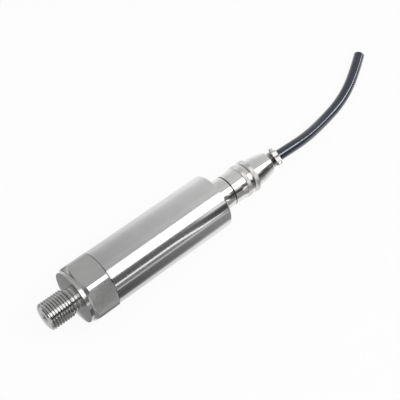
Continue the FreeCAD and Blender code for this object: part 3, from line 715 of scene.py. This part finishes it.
board_tree.links.new(spread(board_tree, weave, 0.25, 0.4), board_shader.inputs["Roughness"])
bumps(board_tree, board_shader, weave, 0.00001, 0.5)
dress(cell_steel, "sensor_cell", "cell_retainer", "receptacle_nut")
dress(foil_steel, "diaphragm")
dress(plate, "plug_sleeve")
dress(gold, "cell_pins", "contact_pins", "plug_sockets")
dress(tin, "chip_leads")
dress(black_plastic, "board_holder_front", "board_holder_rear", "receptacle_insert", "plug_insert")
dress(chip_plastic, "amplifier_chip", "regulator_chip", "resistors")
dress(silicon, "sensor_die")
dress(ceramic, "capacitors")
dress(film, "sensor_ribbon", "output_ribbon")
dress(board_resist, "amplifier_board")
dress(seal_rubber, "housing_seal", "cell_seal", "receptacle_gasket", "cable_grommet")
dress(core_plastic, "cable_cores")

# Floor: one plain pale sheet. The camera and the reflections see it as white, and it still takes
# the soft shadow of the transmitter.
floor_z = -0.01352
bpy.ops.object.select_all(action="DESELECT")
bpy.ops.mesh.primitive_plane_add(size=6.0, location=(0.1, 0.0, floor_z))
floor = bpy.context.object
floor.name = "floor"
set_place(floor)
floor_paint, floor_tree, floor_shader, _ = new_material("floor_paint")
floor_tree.nodes.remove(floor_shader)
floor_output = floor_tree.nodes["Material Output"]
floor_matt = floor_tree.nodes.new("ShaderNodeBsdfDiffuse")
floor_matt.inputs["Color"].default_value = (0.8, 0.8, 0.8, 1.0)
floor_white = floor_tree.nodes.new("ShaderNodeEmission")
floor_white.inputs["Color"].default_value = (1.0, 1.0, 1.0, 1.0)
floor_white.inputs["Strength"].default_value = 1.0
floor_rays = floor_tree.nodes.new("ShaderNodeLightPath").outputs
camera_or_gloss = floor_tree.nodes.new("ShaderNodeMath")
camera_or_gloss.operation = "MAXIMUM"
floor_tree.links.new(floor_rays["Is Camera Ray"], camera_or_gloss.inputs[0])
floor_tree.links.new(floor_rays["Is Glossy Ray"], camera_or_gloss.inputs[1])
any_seen = floor_tree.nodes.new("ShaderNodeMath")
any_seen.operation = "MAXIMUM"
floor_tree.links.new(camera_or_gloss.outputs["Value"], any_seen.inputs[0])
floor_tree.links.new(floor_rays["Is Transmission Ray"], any_seen.inputs[1])
white_share = floor_tree.nodes.new("ShaderNodeMath")
white_share.operation = "MULTIPLY"
white_share.inputs[1].default_value = 0.92
floor_tree.links.new(any_seen.outputs["Value"], white_share.inputs[0])
floor_mix = floor_tree.nodes.new("ShaderNodeMixShader")
floor_tree.links.new(white_share.outputs["Value"], floor_mix.inputs["Fac"])
floor_tree.links.new(floor_matt.outputs["BSDF"], floor_mix.inputs[1])
floor_tree.links.new(floor_white.outputs["Emission"], floor_mix.inputs[2])
floor_tree.links.new(floor_mix.outputs["Shader"], floor_output.inputs["Surface"])
floor.data.materials.append(floor_paint)


# Cards: strips of grey and white card that lie beside the transmitter on the near side and in front
# of its thread, and three that stand farther off. They show in reflections alone.
def card(name, corners, tone, far_tone=None, change=(0.03, 0.11)):
    """Card that shows in reflections alone. Its tone may change between two places along X."""
    mesh = bpy.data.meshes.new(name)
    half = len(corners) // 2
    faces = [(k, k + 1, half + k + 1, half + k) for k in range(half - 1)]
    mesh.from_pydata(corners, [], faces)
    strip = bpy.data.objects.new(name, mesh)
    bpy.context.scene.collection.objects.link(strip)
    paint, tree, shader, place = new_material(name + "_paint")
    tree.nodes.remove(shader)
    glow = tree.nodes.new("ShaderNodeEmission")
    glow.inputs["Strength"].default_value = tone
    if far_tone is not None:
        axes = tree.nodes.new("ShaderNodeSeparateXYZ")
        tree.links.new(place, axes.inputs["Vector"])
        tree.links.new(spread(tree, axes.outputs["X"], tone, far_tone, *change), glow.inputs["Strength"])
    tree.links.new(glow.outputs["Emission"], tree.nodes["Material Output"].inputs["Surface"])
    mesh.materials.append(paint)
    strip.visible_camera = False
    strip.visible_diffuse = False
    strip.visible_shadow = False
    strip.visible_transmission = False


def flat(near_y, far_y, height=-0.0133, low_x=-0.9, high_x=2.5):
    """Corners of a card that lies flat."""
    return [
        (low_x, near_y, height), (high_x, near_y, height), (low_x, far_y, height), (high_x, far_y, height),
    ]


def upright(y, places):
    """Corners of a card that stands at one Y, from its lowest and highest point at each X."""
    return [(x, y, low) for x, low, high in places] + [(x, y, high) for x, low, high in places]


card("edge_card", flat(-0.0205, -0.0245), 0.28, 0.6)
card("near_card", flat(-0.0245, -0.085, high_x=0.122), 0.15, 0.34)
card("plug_card", flat(-0.0245, -0.053, low_x=0.122), 0.55)
card("plug_dark_card", flat(-0.053, -0.085, low_x=0.122), 0.09)
card("middle_card", flat(-0.085, -0.14), 0.8, 0.09, (0.12, 0.143))
card("far_card", flat(-0.14, -2.0), 0.36, 0.14, (0.16, 0.22))
card("front_card", flat(-0.6, 1.5, -0.01325, -2.0, -0.0165), 0.13)
card("face_card", flat(-0.3, 0.4, -0.01328, -0.0165, -0.0005), 0.36)
card("end_card", flat(-0.3, 0.4, -0.01322, -0.026, -0.0165), 0.42, 0.85, (-0.023, -0.0175))
card("tip_card", flat(-0.3, 0.4, -0.01322, -0.1, -0.026), 0.95, 0.42, (-0.045, -0.026))
card("plug_shade_card", [
    (0.28, -0.45, 0.012), (0.6, -0.45, 0.012), (0.292, -0.45, 0.164), (0.6, -0.45, 0.164),
], 0.06)
card("plug_light_card", [
    (0.335, -0.5, 0.244), (0.43, -0.5, 0.244), (0.361, -0.5, 0.363), (0.43, -0.5, 0.363),
], 1.1)
card("bounce_card", upright(-0.25, (
    (-0.3, 0.031, 0.06), (0.15, 0.029, 0.057), (0.165, 0.008, 0.042), (0.177, -0.012, 0.018),
    (0.19, -0.013, 0.004), (0.2, -0.0132, -0.006),
)), 1.7)

# Light: one long soft box above the near side, in line with the housing, and a bright tube before it
# that lights the cable alone. The studio's walls are grey, and darker low on the near side.
def box_lamp(name, middle_x, reach, long, wide, power):
    """Area lamp on the near side, the given reach from the axis and turned to face it."""
    slope = math.radians(56.0)
    lamp_data = bpy.data.lights.new(name, "AREA")
    lamp_data.shape = "RECTANGLE"
    lamp_data.size = long
    lamp_data.size_y = wide
    lamp_data.energy = power
    lamp = bpy.data.objects.new(name, lamp_data)
    lamp.location = (middle_x, -reach * math.cos(slope), reach * math.sin(slope))
    lamp.rotation_euler = (math.pi / 2 - slope, 0.0, 0.0)
    bpy.context.scene.collection.objects.link(lamp)
    return lamp


box_lamp("soft_box", 0.35, 0.6, 1.5, 0.36, 3.4)
bright_tube = box_lamp("bright_tube", 1.2, 0.58, 2.2, 0.16, 10.5)
glossy_pieces = bpy.data.collections.new("glossy_pieces")
glossy_pieces.objects.link(cable_jacket)
bright_tube.light_linking.receiver_collection = glossy_pieces

world = bpy.data.worlds.new("studio")
bpy.context.scene.world = world
world.use_nodes = True
sky = world.node_tree
sky_shader = sky.nodes["Background"]
direction = sky.nodes.new("ShaderNodeTexCoord").outputs["Generated"]
split = sky.nodes.new("ShaderNodeSeparateXYZ")
sky.links.new(direction, split.inputs["Vector"])
toward = sky.nodes.new("ShaderNodeMath")
toward.operation = "MULTIPLY"
toward.inputs[1].default_value = -1.0
sky.links.new(split.outputs["Y"], toward.inputs[0])
around = sky.nodes.new("ShaderNodeMath")
around.operation = "ARCTAN2"
sky.links.new(split.outputs["Z"], around.inputs[0])
sky.links.new(toward.outputs["Value"], around.inputs[1])
turn_share = sky.nodes.new("ShaderNodeMapRange")
turn_share.inputs["From Min"].default_value = -math.pi
turn_share.inputs["From Max"].default_value = math.pi
sky.links.new(around.outputs["Value"], turn_share.inputs["Value"])
wall_ramp = sky.nodes.new("ShaderNodeValToRGB")
wall_tones = (
    (-180, 0.8), (-20, 0.6), (-3, 0.35), (3, 0.25), (6, 0.17), (34, 0.17), (38, 0.45), (74, 0.6), (90, 0.7),
    (105, 0.64), (140, 0.65), (160, 0.72), (172, 0.82), (180, 0.9),
)
wall_ramp.color_ramp.elements.remove(wall_ramp.color_ramp.elements[1])
for number, (angle, tone) in enumerate(wall_tones):
    share = (angle + 180) / 360
    if number == 0:
        element = wall_ramp.color_ramp.elements[0]
        element.position = share
    else:
        element = wall_ramp.color_ramp.elements.new(share)
    element.color = (tone, tone, tone, 1.0)
sky.links.new(turn_share.outputs["Result"], wall_ramp.inputs["Fac"])
sky_rays = sky.nodes.new("ShaderNodeLightPath")
sky_mix = sky.nodes.new("ShaderNodeMixRGB")
sky_mix.inputs["Color2"].default_value = (1.0, 1.0, 1.0, 1.0)
sky.links.new(sky_rays.outputs["Is Camera Ray"], sky_mix.inputs["Fac"])
sky.links.new(wall_ramp.outputs["Color"], sky_mix.inputs["Color1"])
sky.links.new(sky_mix.outputs["Color"], sky_shader.inputs["Color"])
sky_shader.inputs["Strength"].default_value = 1.0
